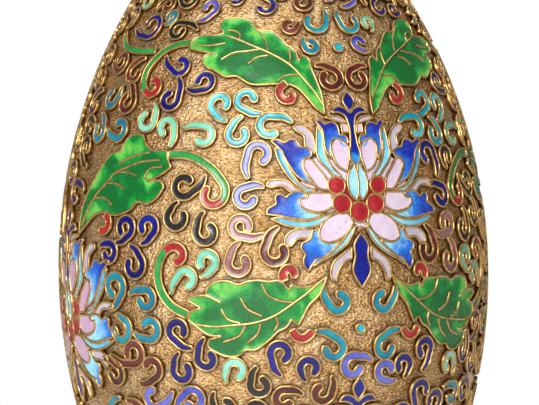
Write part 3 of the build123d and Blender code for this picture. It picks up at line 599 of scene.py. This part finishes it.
# ---- Lotus flowers ----
def flower(centre, pink, shade):
    """One lotus at a place on the chart. pink tints the petals, shade the tips."""
    du, dv = centre[0] - LOTUS_HIGH[0], centre[1] - LOTUS_HIGH[1]

    def away(u, v):
        """Distance from the flower's centre."""
        return math.hypot(u - centre[0], v - centre[1])

    taken = []

    def lay(name, outline, tone_at, level):
        """One cell of the flower, a little higher for a higher level, so that none coincide."""
        cell(name, outline, tone_at, "lotus_wires", taken, (0,), ENAMEL_RISE + 0.012 * level)
        taken.append(outline)

    def here(points, side):
        """Points of the upper lotus at this flower, mirrored and turned back where side is -1."""
        return [(LOTUS_HIGH[0] + side * (u - LOTUS_HIGH[0]) + du, v + dv)
                for u, v in points[::side]]

    def moved(points, side):
        """Such an outline as a smooth line."""
        return spline(here(points, side), True)

    under = spline(here(LOTUS_HULL, 1) + here(LOTUS_HULL, -1), True)
    cell("lotus_petal_fill", under, lambda a, b: pink + 0.2, None, (), (0,), ENAMEL_RISE - 0.2)
    cell("lotus_seed_fill", moved(SEED_BED, 1), lambda a, b: 0.2, None, (), (0,),
         ENAMEL_RISE - 0.1)
    for u, v, radius in LOTUS_SEEDS:
        lay("lotus_seed_fill", circle(u + du, v + dv, radius),
            lambda a, b: 0.5 + 0.15 * math.sin(2.2 * a), 4)
    families = (("drop", "lotus_drop_fill", lambda a, b: 0.7),
                ("petal", "lotus_petal_fill", lambda a, b: pink + 0.25 * (1 - away(a, b) / 10)),
                ("strip", "lotus_strip_fill", lambda a, b: 1.15 - away(a, b) / 14),
                ("tip", "lotus_tip_fill", lambda a, b: shade + 2.2 - away(a, b) / 5.8),
                ("sepal", "lotus_sepal_fill", lambda a, b: 0.5))
    for level, (key, name, tone_at) in enumerate(families):
        for outline in LOTUS_HALF[key]:
            for side in (1, -1):
                lay(name, moved(outline, side), tone_at, 3 - level)
    for outline in LOTUS_STEM:
        lay("lotus_stem_fill", moved(outline, 1),
            lambda a, b: 0.15 + 0.6 * math.exp(-((b - dv - 17.0) / 1.6) ** 2), 0)
    return taken


placed_outlines = []
for place, pink, shade in ((LOTUS_HIGH, 0.35, 0.0), (LOTUS_LOW, 0.0, 0.35), (LOTUS_FOOT, 0.2, 0.1)):
    for outline in flower(place, pink, shade):
        placed_outlines.append(outline)

# ---- Leaves, vines and calyx hooks ----
def leaf_tone(outline, u, v):
    """Lobes are light and the leaf's heart is dark."""
    gap = np.sqrt(((outline - (u, v)) ** 2).sum(axis=1)).min()
    drift = 0.2 * math.sin(0.5 * u + 0.4 * v) + 0.14 * math.sin(1.1 * v - 0.5 * u)
    return 0.62 - 0.24 * gap + drift


for plant in LEAVES:
    taken = []
    for line in plant["hooks"]:
        outline = band("calyx_fill", spline(line), 0.5, VINE_HALF, "leaf_wires")
        taken.append(outline)
    outline = spline(plant["outline"], True)
    cell("leaf_fill", outline, lambda a, b: leaf_tone(outline, a, b), "leaf_wires", taken)
    for line in plant["veins"]:
        wire("leaf_wires", spline(line), False)
    placed_outlines += taken + [outline]
    for green, red in plant["vines"]:
        line = spline(green + red)
        placed_outlines.append(band("vine_fill", line, 0.4, VINE_HALF, "leaf_wires",
                                    rise=ENAMEL_RISE - 0.02))
        if red:
            turning = np.hypot(*(line - green[-1]).T).argmin()
            band("calyx_fill", line[turning:], 0.45, VINE_HALF)

# ---- Scrolls as charted, then scrolls that fill the rest ----
CHART_LOW = -62.0
CHART_HIGH = 60.0
PATCH = 0.25  # the ground is noted as bare or taken in squares of this size
SCROLL_ROOM = 1.15  # how near to a scroll's middle line the next may come
CELL_ROOM = 0.75  # and to a cell's outline
BAND_ROOM = 0.8  # and to the outline of a shoulder or foot band
busy_columns = int(HALF_TURN / PATCH)
busy_rows = int((CHART_HIGH - CHART_LOW) / PATCH)
busy = np.zeros((busy_rows, busy_columns), bool)


def patch_of(u, v):
    """Row and column of the square that holds a chart place."""
    return int((v - CHART_LOW) / PATCH), int((u % HALF_TURN) / PATCH)


def mark(points, radius):
    """Notes the places round these points as taken."""
    reach = int(radius / PATCH) + 1
    for u, v in points:
        r, c = patch_of(u, v)
        for dr in range(-reach, reach + 1):
            if 0 <= r + dr < busy_rows:
                for dc in range(-reach, reach + 1):
                    if math.hypot(dr, dc) * PATCH <= radius:
                        busy[r + dr, (c + dc) % busy_columns] = True


def is_free(points):
    """Whether all these points lie on bare ground."""
    for u, v in points:
        r, c = patch_of(u, v)
        if not 0 <= r < busy_rows or busy[r, c % busy_columns]:
            return False
    return True


def scroll(hue, tone, line, panels):
    """One scroll in some panels; violet ones are nearly cobalt in the mirrored panel."""
    shift = -0.75 if hue == "violet" else 0.0
    band("scroll_" + hue + "_fill", line, tone + random.uniform(-0.15, 0.15), BAND_HALF,
         "scroll_" + hue + "_wires", panels, shift=shift, bulb=0.16, tail=TAIL_SHARE)
    for panel in panels:
        mark((mirrored(line) if panel else line)[::2], SCROLL_ROOM)


for (hue, tone), scrolls in SCROLLS.items():
    for shape in scrolls:
        scroll(hue, tone, scroll_line(*shape), (0, 1))
for u, v, radius in DOTS:
    cell("scroll_turquoise_fill", circle(u, v, radius), lambda a, b: 0.6, "scroll_turquoise_wires",
         (), (0,))
    mark([(u, v)], radius + 0.8)
for outline in placed_outlines:
    grid = grid_inside(outline, 2 * PATCH)
    for line in (outline, mirrored(outline)):
        mark(line, CELL_ROOM)
    for line in (grid, mirrored(grid)):
        mark(line, 0.4)
for name, outer in (("ruyi", RUYI), ("lappet", LAPPET)):
    shape = spline(outer, True)
    for i in range(BAND_COUNT):
        mark(shape + (band_start(name) + i * BAND_PITCH, 0), BAND_ROOM)


def scatter(count, size, middle, spread, low, high):
    """Tries count scrolls of one size at random places, and makes those that find bare ground."""
    for _ in range(count):
        eye = np.array([middle + random.uniform(-spread, spread), random.uniform(low, high)])
        at = random.uniform(0, 2 * math.pi)
        turn = random.choice((1, -1))
        reach = size * random.uniform(1.7, 2.3)
        tail = eye + reach * np.array([math.cos(at), math.sin(at)])
        end = at + turn * random.uniform(1.1, 1.5) * math.pi + turn * 1.0
        bulb = eye + 0.8 * np.array([math.cos(end), math.sin(end)])
        line = scroll_line(tail, eye, size, turn, bulb)
        if not is_free(line):
            continue
        patch = int(math.floor(eye[0] / 11)) * 5 + int(math.floor(eye[1] / 8)) * 3
        hue, tone = FILL_COLOURS[patch % len(FILL_COLOURS)]
        scroll(hue, tone, line, (0,))


for size in (1.75, 1.5, 1.25):  # large ones go first, while there is room
    scatter(2600, size, LOTUS_AXIS, HALF_TURN / 2, -61.0, -12.5)  # below the charted scrolls
    scatter(700, size, LOTUS_AXIS, HALF_TURN / 2, 46.0, 59.5)  # above them
    scatter(300, size, LOTUS_LOW[0], 9.0, 8.0, 46.0)  # over the lower lotus
scatter(2600, 1.2, LOTUS_AXIS, HALF_TURN / 2, -14.0, 50.0)  # between them

# ---- Shoulder and foot bands ----
for name, outer, eye in (("ruyi", RUYI, RUYI_EYE), ("lappet", LAPPET, LAPPET_EYE)):
    outer_line, eye_line = spline(outer, True), spline(eye, True)
    for i in range(BAND_COUNT // 2):
        step = np.array([band_start(name) + i * BAND_PITCH, 0])
        middle = outer_line.mean(axis=0) + step
        cell(name + "_eye_fill", eye_line + step, lambda a, b: 0.5, name + "_wires", (), (0,),
             ENAMEL_RISE + 0.02)
        cell(name + "_fill", outer_line + step,
             lambda a, b: 0.85 - 0.09 * math.hypot(a - middle[0], b - middle[1]),
             name + "_wires", (), (0,))


# ---- Materials ----
def colour(r, g, b):
    """Linear colour from the usual 0 to 255 screen values."""
    def linear(c):
        """One channel without the screen's gamma."""
        c /= 255
        return c / 12.92 if c <= 0.04045 else ((c + 0.055) / 1.055) ** 2.4
    return (linear(r), linear(g), linear(b), 1)


class Nodes:
    """A material's node tree, with short ways to add what the finishes here share."""

    def __init__(self, name):
        self.material = bpy.data.materials.new(name)
        self.material.use_nodes = True
        self.tree = self.material.node_tree
        self.shader = self.tree.nodes["Principled BSDF"]
        self.place = self.add("ShaderNodeTexCoord").outputs["Object"]

    def add(self, kind, **settings):
        """A new node with these settings."""
        made = self.tree.nodes.new(kind)
        for key, value in settings.items():
            setattr(made, key, value)
        return made

    def link(self, source, target):
        """Joins an output to an input."""
        self.tree.links.new(source, target)

    def noise(self, millimetres, detail=3.0, roughness=0.55, stretch=None):
        """Clouds of about this size, drawn out where stretch is given."""
        made = self.add("ShaderNodeTexNoise")
        made.inputs["Scale"].default_value = 1 / (millimetres * MM)
        made.inputs["Detail"].default_value = detail
        made.inputs["Roughness"].default_value = roughness
        self.link(self.stretched(stretch) if stretch else self.place, made.inputs["Vector"])
        return made.outputs["Fac"]

    def stretched(self, scale):
        """The place on the vase, scaled along slanting axes."""
        made = self.add("ShaderNodeMapping")
        made.inputs["Scale"].default_value = scale
        made.inputs["Rotation"].default_value = (0.3, 0.6, 0.4)
        self.link(self.place, made.inputs["Vector"])
        return made.outputs["Vector"]

    def spots(self, millimetres, edge, width=0.05):
        """1 inside small round spots spaced by millimetres and 0 outside."""
        made = self.add("ShaderNodeTexVoronoi")
        made.inputs["Scale"].default_value = 1 / (millimetres * MM)
        self.link(self.place, made.inputs["Vector"])
        return self.ranged(made.outputs["Distance"], edge, edge - width)

    def ranged(self, source, low, high, to_low=0.0, to_high=1.0):
        """Maps low to high onto another range."""
        made = self.add("ShaderNodeMapRange")
        for key, value in (("From Min", low), ("From Max", high), ("To Min", to_low),
                           ("To Max", to_high)):
            made.inputs[key].default_value = value
        self.link(source, made.inputs["Value"])
        return made.outputs["Result"]

    def math(self, kind, a, b):
        """Arithmetic on outputs or plain numbers."""
        made = self.add("ShaderNodeMath", operation=kind)
        for socket, value in zip(made.inputs, (a, b)):
            if isinstance(value, (int, float)):
                socket.default_value = value
            else:
                self.link(value, socket)
        return made.outputs["Value"]

    def ramp(self, source, stops):
        """Colours at given positions, blended between them."""
        made = self.add("ShaderNodeValToRGB")
        elements = made.color_ramp.elements
        while len(elements) < len(stops):
            elements.new(0.5)
        for element, (at, value) in zip(elements, stops):
            element.position = at
            element.color = colour(*value)
        self.link(source, made.inputs["Fac"])
        return made.outputs["Color"]

    def mix(self, share, a, b):
        """Colour a where share is 0 and b where it is 1."""
        made = self.add("ShaderNodeMix", data_type="RGBA")
        self.link(share, made.inputs[0])
        for socket, value in ((made.inputs[6], a), (made.inputs[7], b)):
            if isinstance(value, tuple):
                socket.default_value = colour(*value)
            else:
                self.link(value, socket)
        return made.outputs[2]

    def tone(self):
        """The tone stored with the mesh's points."""
        return self.add("ShaderNodeAttribute", attribute_name="tone").outputs["Fac"]

    def bump(self, height, strength, millimetres, under=None):
        """Relief of the surface, on top of another one where under is given."""
        made = self.add("ShaderNodeBump")
        made.inputs["Strength"].default_value = strength
        made.inputs["Distance"].default_value = millimetres * MM
        self.link(height, made.inputs["Height"])
        if under:
            self.link(under, made.inputs["Normal"])
        return made.outputs["Normal"]


def enamel(name, dark, mid, light, speck=(45, 45, 50), specks=0.5, spread=0.34, patches=0.0):
    """Fired glass: its tone drifts, with a fine mottle, a few dark pits and a rippled gloss."""
    n = Nodes(name + "_glass")
    cloud = n.noise(1.6, 4.0, 0.6)
    grain = n.noise(0.32, 3.0, 0.7)
    drift = n.math("MULTIPLY", n.math("SUBTRACT", cloud, 0.5), spread * 2.4)
    fine = n.math("MULTIPLY", n.math("SUBTRACT", grain, 0.5), spread * 1.2)
    tone = n.math("ADD", n.math("ADD", n.tone(), drift), fine)
    if patches:
        pools = n.ranged(n.noise(3.6, 2.0, 0.5), 0.44, 0.56, -patches, patches)
        tone = n.math("ADD", tone, pools)
    body = n.ramp(tone, [(0.05, dark), (0.5, mid), (0.95, light)])
    some = n.ranged(n.noise(2.7, 1.0), 0.5, 0.56, 0.0, specks)
    pits = n.math("MULTIPLY", n.spots(0.62, 0.17), some)
    n.link(n.mix(pits, body, speck), n.shader.inputs["Base Color"])
    n.link(n.ranged(grain, 0.3, 0.75, 0.22, 0.42), n.shader.inputs["Roughness"])
    n.shader.inputs["IOR"].default_value = 1.54
    n.shader.inputs["Coat Weight"].default_value = 0.1
    n.shader.inputs["Coat Roughness"].default_value = 0.12
    ripple = n.bump(cloud, 0.35, 0.12)
    n.link(n.bump(pits, -0.7, 0.06, ripple), n.shader.inputs["Normal"])
    return n.material


def wire_metal():
    """Gilt brass strip, rubbed bright on top, with painted shade and tarnish down its sides towards
    the ground.
    """
    n = Nodes("cloison_gilt")
    worn = n.noise(0.9, 4.0, 0.65)
    # down the wire's sides towards its foot the gilt darkens: painted shade and tarnish in the crease
    side = n.ranged(n.tone(), 0.35, 0.98)
    gold = n.ramp(worn, [(0.25, (160, 116, 60)), (0.5, (206, 164, 98)),
                         (0.75, (238, 204, 142))])
    n.link(n.mix(side, (96, 62, 28), gold), n.shader.inputs["Base Color"])
    n.shader.inputs["Metallic"].default_value = 0.9
    n.link(n.ranged(worn, 0.3, 0.7, 0.26, 0.46), n.shader.inputs["Roughness"])
    n.link(n.bump(n.noise(0.22, 3.0), 0.3, 0.03), n.shader.inputs["Normal"])
    return n.material


def ground_metal():
    """Gilt copper struck all over with a fine punch, with painted shade and dirt beside the wires."""
    n = Nodes("stippled_gilt")
    strokes = n.noise(0.55, 4.0, 0.7, stretch=(1.0, 1.0, 2.6))
    punch = n.add("ShaderNodeTexVoronoi")
    punch.inputs["Scale"].default_value = 1 / (0.42 * MM)
    n.link(n.place, punch.inputs["Vector"])
    cloud = n.noise(6.0, 4.0, 0.6)
    shade = n.math("ADD", n.math("MULTIPLY", strokes, 0.75), n.math("MULTIPLY", cloud, 0.3))
    gold = n.ramp(shade, [(0.34, (100, 64, 32)), (0.46, (178, 134, 80)),
                          (0.55, (222, 182, 126)), (0.66, (248, 222, 182))])
    # painted shade and greyish dirt: darker brown and grey where the ground meets the wires
    shade_and_dirt_colour = n.mix(n.ranged(n.noise(3.2, 2.0), 0.45, 0.6), (92, 60, 30), (104, 98, 88))
    shade_and_dirt = n.math("MULTIPLY", n.ranged(n.tone(), 0.35, 1.0), n.ranged(cloud, 0.3, 0.7, 0.55, 1.0))
    n.link(n.mix(shade_and_dirt, gold, shade_and_dirt_colour), n.shader.inputs["Base Color"])
    n.link(n.ranged(shade_and_dirt, 0.0, 1.0, 0.92, 0.3), n.shader.inputs["Metallic"])
    n.link(n.ranged(strokes, 0.3, 0.7, 0.18, 0.4), n.shader.inputs["Roughness"])
    hollows = n.bump(n.noise(2.2, 2.0), 0.7, 0.45)
    dents = n.bump(punch.outputs["Distance"], 0.6, 0.22, hollows)
    n.link(n.bump(strokes, 0.7, 0.3, dents), n.shader.inputs["Normal"])
    return n.material


def turned_metal(name):
    """Plain gilt copper with the fine rings and rubs of turning and handling."""
    n = Nodes(name)
    rings = n.noise(1.2, 5.0, 0.6, stretch=(0.25, 0.25, 5.0))
    worn = n.noise(5.0, 5.0, 0.65)
    shade = n.math("ADD", n.math("MULTIPLY", rings, 0.4), n.math("MULTIPLY", worn, 0.6))
    gold = n.ramp(shade, [(0.3, (128, 84, 40)), (0.48, (198, 150, 86)),
                          (0.62, (232, 192, 124)), (0.8, (246, 218, 164))])
    n.link(gold, n.shader.inputs["Base Color"])
    n.shader.inputs["Metallic"].default_value = 0.92
    n.link(n.ranged(worn, 0.3, 0.7, 0.2, 0.42), n.shader.inputs["Roughness"])
    n.link(n.bump(rings, 0.25, 0.05), n.shader.inputs["Normal"])
    return n.material


ENAMELS = {
    "turquoise": enamel("turquoise", (0, 106, 136), (0, 152, 168), (112, 212, 216)),
    "violet": enamel("violet", (0, 0, 100), (40, 48, 160), (96, 104, 196)),
    "cobalt": enamel("cobalt", (0, 0, 78), (2, 6, 118), (20, 50, 172), specks=0.2),
    "mint": enamel("mint", (76, 166, 138), (112, 192, 164), (150, 212, 194)),
    "black": enamel("black", (12, 12, 14), (28, 28, 32), (54, 56, 64), specks=0.1),
    "maroon": enamel("maroon", (56, 12, 10), (100, 34, 32), (146, 100, 106)),
    "green": enamel("green", (0, 98, 36), (14, 138, 50), (104, 188, 76), specks=0.9,
                    spread=0.36, patches=0.26),
    "vine": enamel("vine", (0, 112, 46), (36, 146, 68), (112, 184, 130)),
    "red": enamel("red", (126, 18, 24), (160, 28, 36), (196, 70, 76)),
    "white": enamel("white", (196, 156, 184), (212, 196, 212), (226, 220, 230), specks=0.7,
                    spread=0.22),
    "sepal": enamel("sepal", (150, 136, 146), (184, 172, 184), (204, 198, 208)),
    "cyan": enamel("cyan", (30, 136, 196), (112, 196, 220), (178, 220, 230)),
    "tip": enamel("tip", (22, 34, 150), (40, 112, 208), (150, 214, 232), specks=0.8,
                  spread=0.4),
    "stem": enamel("stem", (2, 8, 104), (8, 40, 160), (60, 172, 218)),
    "lining": enamel("lining", (30, 104, 146), (56, 140, 172), (104, 178, 194), specks=0.9),
}
WIRE_METAL = wire_metal()
GROUND_METAL = ground_metal()
RING_METAL = turned_metal("turned_gilt")

# ---- Pieces: chart mesh name -> (finish, record slot, CAD nodes that it stands for) ----
PLAN = {
    "lotus_seed_fill": ("red", "red_enamel", "lotus_seed_enamel"),
    "lotus_drop_fill": ("cyan", "cyan_enamel", "lotus_heart_enamel"),
    "lotus_petal_fill": ("white", "white_enamel", "lotus_petal_enamel"),
    "lotus_strip_fill": ("cyan", "cyan_enamel", "lotus_strip_enamel"),
    "lotus_tip_fill": ("tip", "cobalt_enamel", "lotus_tip_enamel"),
    "lotus_sepal_fill": ("sepal", "white_enamel", "lotus_sepal_enamel"),
    "lotus_stem_fill": ("stem", "cobalt_enamel", "lotus_stem_enamel"),
    "leaf_fill": ("green", "green_enamel", "leaf_enamel"),
    "vine_fill": ("vine", "green_enamel", "vine_enamel"),
    "calyx_fill": ("red", "red_enamel", "calyx_enamel"),
    "ruyi_fill": ("tip", "cobalt_enamel", "ruyi_enamel"),
    "ruyi_eye_fill": ("red", "red_enamel", "ruyi_eye_enamel"),
    "lappet_fill": ("turquoise", "turquoise_enamel", "lappet_enamel"),
    "lappet_eye_fill": ("red", "red_enamel", "lappet_eye_enamel"),
}
for hue in ("turquoise", "violet", "cobalt", "mint", "black", "maroon"):
    PLAN["scroll_" + hue + "_fill"] = (hue, hue + "_enamel", "scroll_enamel_" + hue)
    PLAN["scroll_" + hue + "_wires"] = ("wire", "cloison_wire", "scroll_cloisons")
for family in ("lotus", "leaf", "ruyi", "lappet"):
    PLAN[family + "_wires"] = ("wire", "cloison_wire", family + "_cloisons")


def mesh_object(name, points, faces, tones, material, nodes):
    """A finished piece that rides on the vase and stands for its CAD nodes."""
    mesh = bpy.data.meshes.new(name)
    mesh.from_pydata([tuple(p) for p in points], [], faces)
    mesh.update()
    mesh.shade_smooth()
    attribute = mesh.attributes.new("tone", "FLOAT", "POINT")
    attribute.data.foreach_set("value", np.asarray(tones, np.float32))
    mesh.materials.append(material)
    made = bpy.data.objects.new(name, mesh)
    bpy.context.scene.collection.objects.link(made)
    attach(made, "root")
    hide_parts(*nodes)
    return made


for name, piece in pieces.items():
    finish, slot, node = PLAN[name]
    material = WIRE_METAL if finish == "wire" else ENAMELS[finish]
    points = on_wall(np.vstack(piece.points))
    mesh_object(name, points, piece.faces, np.concatenate(piece.tones), material, [node])

# ---- The stippled ground, with a tone that rises beside the wires, for painted shade and dirt there ----
near = np.vstack(wire_points)
wire_places = on_wall(np.column_stack([near, np.zeros(len(near))]))
tree = kdtree.KDTree(len(wire_places))
for i, place in enumerate(wire_places):
    tree.insert(place, i)
tree.balance()
AROUND, UP = 330, 180
low_slope = math.asin((BODY_LOW - BELLY_Z) / LOWER_ARC)
high_slope = math.asin((BODY_HIGH - BELLY_Z) / UPPER_ARC)


def wall_ring(slope, out):
    """One level ring of the wall, out from its outer face."""
    arc = UPPER_ARC if slope >= 0 else LOWER_ARC
    r = BELLY_R - arc + (arc + out) * math.cos(slope)
    z = BELLY_Z + (arc + out) * math.sin(slope)
    return [(r * math.sin(a) * MM, -r * math.cos(a) * MM, z * MM)
            for a in np.linspace(0, 2 * math.pi, AROUND + 1)[:-1]]


slopes = np.linspace(low_slope, high_slope, UP)
shell = [wall_ring(s, 0.0) for s in slopes] + [wall_ring(s, -WALL) for s in slopes[::-6]]
shell.append(wall_ring(low_slope, -WALL))
levels = len(shell)
points = [p for ring in shell for p in ring]
faces = []
for i in range(levels):
    a, b = i * AROUND, ((i + 1) % levels) * AROUND
    for j in range(AROUND):
        k = (j + 1) % AROUND
        faces.append((a + j, a + k, b + k, b + j))
tones = np.zeros(len(points))
# the tone paints shade and dirt on the ground next to each wire
for i in range(UP * AROUND):
    gap = tree.find(points[i])[2] / MM
    tones[i] = math.exp(-((max(gap - WIRE_HALF, 0)) / 0.42) ** 2)
mesh_object("stippled_ground", points, faces, tones, GROUND_METAL, ["body_shell"])

# ---- CAD nodes that keep their shape get their finish here ----
for node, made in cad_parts.items():
    if made.hide_render:
        continue
    finish = ENAMELS["lining"] if "enamel" in node else RING_METAL
    made.data.materials.clear()
    made.data.materials.append(finish)

# ---- Floor, light and camera ----
floor_mesh = bpy.data.meshes.new("floor")
FLOOR_R = 0.45
floor_mesh.from_pydata([(FLOOR_R * math.cos(a), FLOOR_R * math.sin(a), 0)
                        for a in np.linspace(0, 2 * math.pi, 65)[:-1]], [], [tuple(range(64))])
floor = bpy.data.objects.new("floor", floor_mesh)
bpy.context.scene.collection.objects.link(floor)
paper = Nodes("pale_paper")
pale = paper.ramp(paper.noise(40, 2.0), [(0.3, (240, 240, 240)), (0.7, (246, 246, 246))])
paper.link(pale, paper.shader.inputs["Base Color"])
paper.shader.inputs["Roughness"].default_value = 0.9
floor_mesh.materials.append(paper.material)

world = bpy.data.worlds.new("studio")
bpy.context.scene.world = world
world.use_nodes = True
background = world.node_tree.nodes["Background"]
background.inputs["Color"].default_value = (1.0, 1.0, 1.0, 1)
rays = world.node_tree.nodes.new("ShaderNodeLightPath")
level = world.node_tree.nodes.new("ShaderNodeMapRange")
level.inputs["To Min"].default_value = 0.19  # what the studio gives off
level.inputs["To Max"].default_value = 1.0  # what shows behind the vase
world.node_tree.links.new(rays.outputs["Is Camera Ray"], level.inputs["Value"])
world.node_tree.links.new(level.outputs["Result"], background.inputs["Strength"])


def softbox(name, place, size, watts, aim=(0, 0, 0.06)):
    """A square soft light that faces a place on the vase."""
    lamp = bpy.data.lights.new(name, "AREA")
    lamp.size = size
    lamp.energy = watts
    made = bpy.data.objects.new(name, lamp)
    made.location = place
    way = np.array(aim) - np.array(place)
    heading = math.atan2(way[1], way[0]) - math.pi / 2
    tilt = math.atan2(math.hypot(way[0], way[1]), -way[2])
    made.rotation_euler = (tilt, 0, heading)
    bpy.context.scene.collection.objects.link(made)


softbox("key", (-0.24, -0.93, 0.44), 0.5, 13.4)
softbox("top", (0.1, 0.1, 0.9), 0.6, 3.0)

CAMERA_BACK = 0.45
CAMERA_ASIDE = -0.000456
CAMERA_HIGH = 0.06961
lens = bpy.data.cameras.new("camera")
lens.lens = 191.15
lens.sensor_width = 36
lens.clip_start = 0.01
camera = bpy.data.objects.new("camera", lens)
camera.location = (CAMERA_ASIDE, -CAMERA_BACK, CAMERA_HIGH)
camera.rotation_euler = (math.radians(90), math.radians(0.83), 0)
bpy.context.scene.collection.objects.link(camera)
bpy.context.scene.camera = camera
bpy.context.scene.view_settings.view_transform = "Standard"
